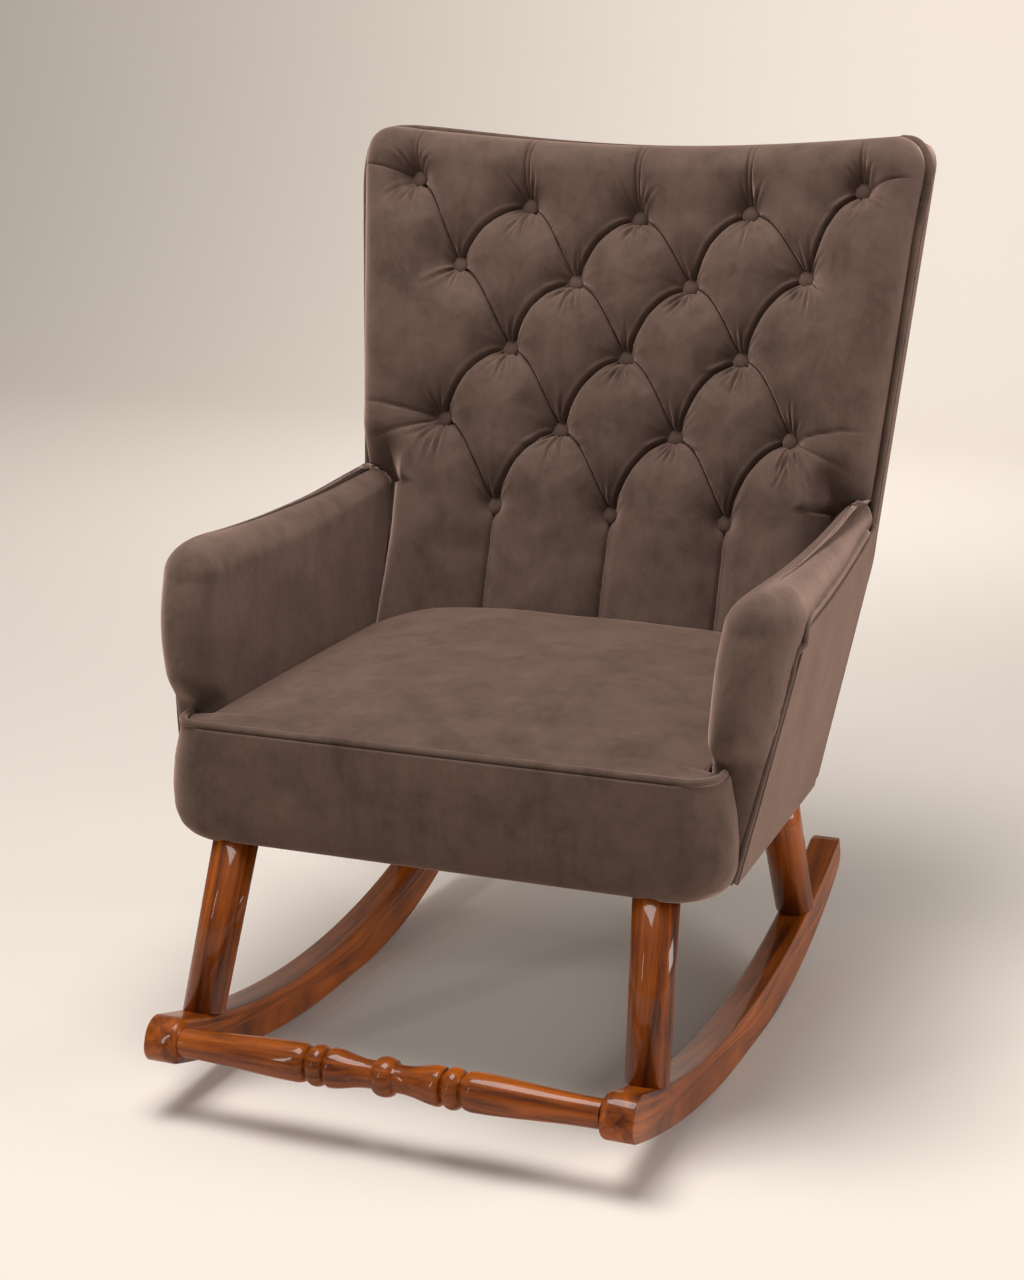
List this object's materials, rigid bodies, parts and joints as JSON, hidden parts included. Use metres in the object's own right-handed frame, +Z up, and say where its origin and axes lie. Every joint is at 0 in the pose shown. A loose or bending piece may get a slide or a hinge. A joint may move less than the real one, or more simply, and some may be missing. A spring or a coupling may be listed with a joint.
{
  "type": "wingback rocking chair",
  "caption": "Wingback rocking chair with a button-tufted leaning back, padded arms and seat in taupe velvet, on bent wooden rockers with turned legs and a turned front rail.",
  "frame": {"origin": "middle of the box round the whole chair, at floor level", "axes": "+X to the sitter's left, which is the right of someone facing the chair; +Y towards the back of the chair; +Z up"},
  "size_m": [0.7468, 0.8991, 1.02],
  "materials": {
    "wood": "clear gloss varnish over stained beech",
    "steel": "zinc plated",
    "frame_wood": "sawn, unfinished",
    "webbing": "woven",
    "upholstery": "short pile velvet, brushed"
  },
  "bodies": {
    "root": {"rocker_left": "wood", "rocker_right": "wood", "front_leg_left": "wood", "front_leg_right": "wood", "rear_leg_left": "wood", "rear_leg_right": "wood", "front_stretcher": "wood", "rocker_screws": "steel", "leg_bolts": "steel", "leg_plates": "steel", "seat_front_rail": "frame_wood", "seat_back_rail": "frame_wood", "seat_side_rail_left": "frame_wood", "seat_side_rail_right": "frame_wood", "corner_blocks": "frame_wood", "seat_webbing": "webbing", "seat_pad": "upholstery", "seat_front_border": "upholstery", "seat_piping": "upholstery", "dust_cover": "webbing", "back_post_left": "frame_wood", "back_post_right": "frame_wood", "back_top_rail": "frame_wood", "back_lower_rail": "frame_wood", "back_webbing": "webbing", "tufted_back_pad": "upholstery", "tuft_buttons": "upholstery", "twine_toggles": "steel", "outside_back_panel": "upholstery", "back_piping": "upholstery", "arm_post_left": "frame_wood", "arm_post_right": "frame_wood", "arm_rail_left": "frame_wood", "arm_rail_right": "frame_wood", "arm_pad_left": "upholstery", "arm_pad_right": "upholstery", "arm_panel_left": "upholstery", "arm_panel_right": "upholstery", "arm_piping_left": "upholstery", "arm_piping_right": "upholstery"}
  },
  "joints": []
}
